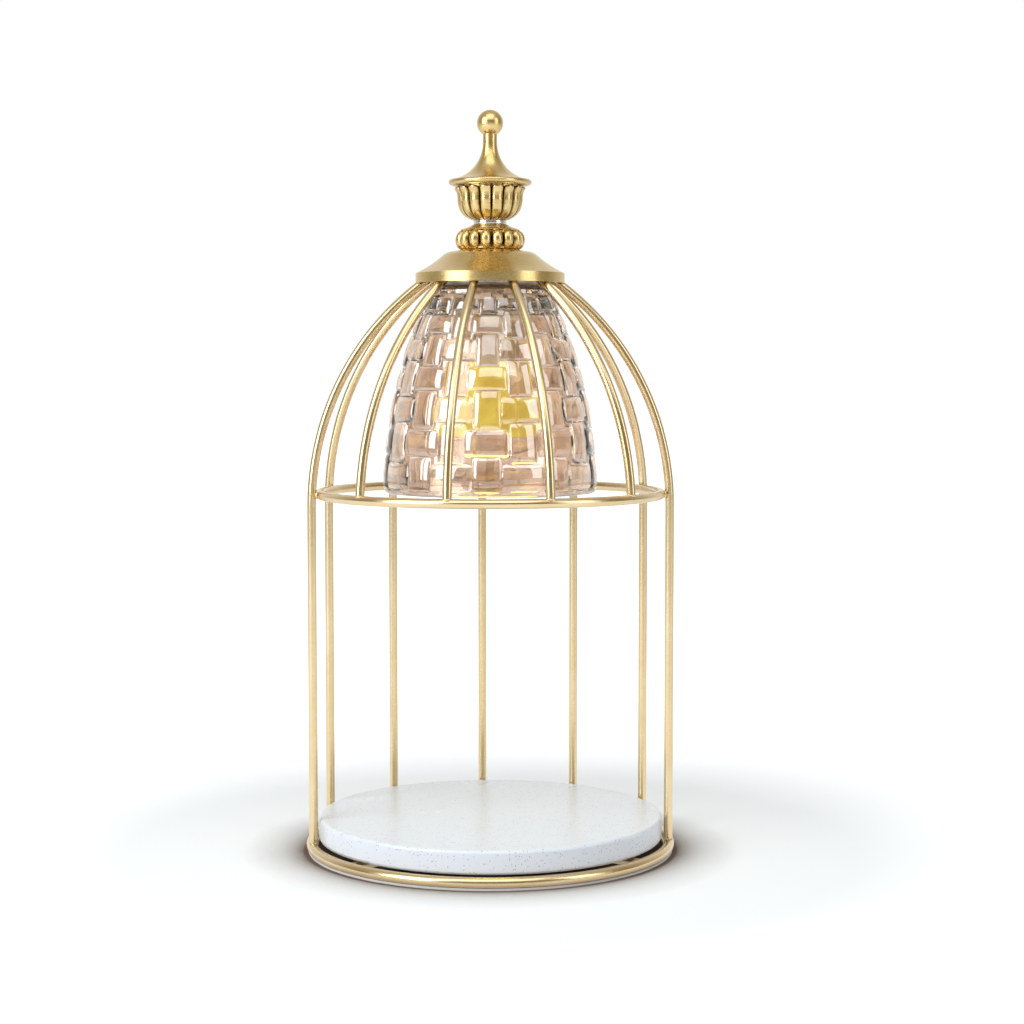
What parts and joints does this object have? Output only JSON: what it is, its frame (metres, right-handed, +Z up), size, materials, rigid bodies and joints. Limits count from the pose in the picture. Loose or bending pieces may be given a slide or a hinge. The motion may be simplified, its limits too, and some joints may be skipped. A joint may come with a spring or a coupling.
{
  "type": "candle warmer lamp",
  "caption": "Candle warmer lamp: a gold wire cage with a woven-pattern amber glass shade, a reflector bulb, a turned finial and a round stone plate.",
  "frame": {"origin": "on the floor, on the lamp's vertical axis, under the foot strip", "axes": "+Z up along the lamp's axis; -Y is the open front where the candle goes in; +X is to the right seen from the front"},
  "size_m": [0.16, 0.16, 0.3188],
  "materials": {
    "gold_wire": "satin champagne-gold plating on steel wire",
    "gold_cap": "satin antique gold",
    "silver_ring": "polished",
    "plain_steel": "zinc-plated",
    "contact_brass": "bare",
    "amber_glass": "clear, pressed relief, champagne-amber tint",
    "bulb_glass": "clear",
    "reflector": "aluminised glass",
    "ceramic": "unglazed white ceramic",
    "stone": "honed white terrazzo with fine grey specks",
    "white_plastic": "moulded",
    "clear_strip": "clear soft strip",
    "soft_pad": "soft silicone",
    "lead_sleeve": "silicone sleeve"
  },
  "bodies": {
    "frame": {"base_ring": "gold_wire", "foot_strip": "clear_strip", "cross_wire_long": "gold_wire", "cross_wire_front": "gold_wire", "cross_wire_rear": "gold_wire", "plate_pads": "soft_pad", "waist_ring": "gold_wire", "long_rib_1": "gold_wire", "long_rib_2": "gold_wire", "long_rib_3": "gold_wire", "long_rib_4": "gold_wire", "long_rib_5": "gold_wire", "long_rib_6": "gold_wire", "long_rib_7": "gold_wire", "short_rib_1": "gold_wire", "short_rib_2": "gold_wire", "short_rib_3": "gold_wire", "short_rib_4": "gold_wire", "crown_hub": "plain_steel", "dome_cap": "gold_cap", "cord_bush": "white_plastic", "threaded_tube": "plain_steel", "tube_nut": "plain_steel", "beaded_collar": "gold_cap", "neck_ring": "silver_ring", "fluted_cup": "gold_cap", "finial_lid": "gold_cap", "finial_ball": "gold_cap", "ball_stud": "plain_steel", "shade_carrier": "plain_steel", "lamp_socket": "ceramic", "socket_screws": "plain_steel", "socket_contacts": "contact_brass", "socket_lead_near": "lead_sleeve", "socket_lead_far": "lead_sleeve", "glass_shade": "amber_glass", "shade_gasket_upper": "soft_pad", "shade_gasket_lower": "soft_pad"},
    "bulb": {"bulb_base": "ceramic", "bulb_pins": "plain_steel", "bulb_reflector": "reflector", "bulb_lens": "bulb_glass", "bulb_capsule": "bulb_glass"},
    "shade_ring": {"shade_ring_nut": "plain_steel"},
    "plate": {"stone_plate": "stone"}
  },
  "joints": [
    {"name": "bulb_twist", "type": "hinge", "parent": "frame", "child": "bulb", "pos_m": [0, 0, 0.21], "axis": [0, 0, 1], "range_deg": [-40, 0]},
    {"name": "shade_ring_turn", "type": "hinge", "parent": "frame", "child": "shade_ring", "pos_m": [0, 0, 0.236], "axis": [0, 0, 1], "range_deg": [0, 720]},
    {"name": "plate_lift", "type": "slide", "parent": "frame", "child": "plate", "axis": [0, 0, 1], "range_m": [0, 0.02]}
  ]
}
